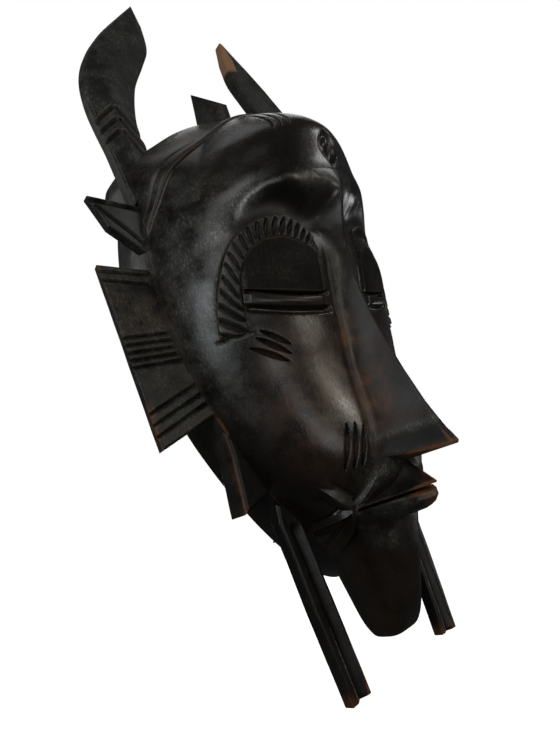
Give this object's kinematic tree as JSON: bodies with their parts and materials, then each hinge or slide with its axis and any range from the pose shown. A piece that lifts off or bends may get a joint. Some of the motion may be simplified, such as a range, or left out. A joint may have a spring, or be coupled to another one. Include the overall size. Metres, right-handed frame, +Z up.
{
  "type": "carved wooden mask",
  "caption": "Carved dark wooden face mask, hollowed from behind, with closed eyes, long thin nose, pointed mouth, horns, ear panels and two legs.",
  "frame": {"origin": "centre of the mouth of the hanging hole, on the rim plane at the back of the mask, on its midline", "axes": "+Z up towards the horns, +Y out of the back towards the wall, the face looks along -Y, +X across the face"},
  "size_m": [0.1682, 0.0836, 0.3422],
  "materials": {
    "dark_wood": "dark waxed satin patina",
    "plate_wood": "dark waxed satin patina, worn to brown at the edges",
    "feature_wood": "dark waxed patina, scuffed and worn on the ridges"
  },
  "bodies": {
    "root": {"face_shell": "dark_wood", "hood": "dark_wood", "headband": "feature_wood", "crest": "plate_wood", "horn_left": "plate_wood", "horn_right": "plate_wood", "temple_fin_left": "plate_wood", "temple_fin_right": "plate_wood", "ear_panel_left": "plate_wood", "ear_panel_right": "plate_wood", "jaw_fin_left": "plate_wood", "jaw_fin_right": "plate_wood", "leg_left": "plate_wood", "leg_right": "plate_wood", "nose": "feature_wood", "upper_lip": "feature_wood", "lower_lip": "feature_wood", "chin": "feature_wood", "brow_left": "feature_wood", "brow_right": "feature_wood", "eyelid_left": "feature_wood", "eyelid_right": "feature_wood", "lower_lid_left": "feature_wood", "lower_lid_right": "feature_wood", "mouth_star_left": "feature_wood", "mouth_star_right": "feature_wood", "forehead_boss": "feature_wood"}
  },
  "joints": []
}
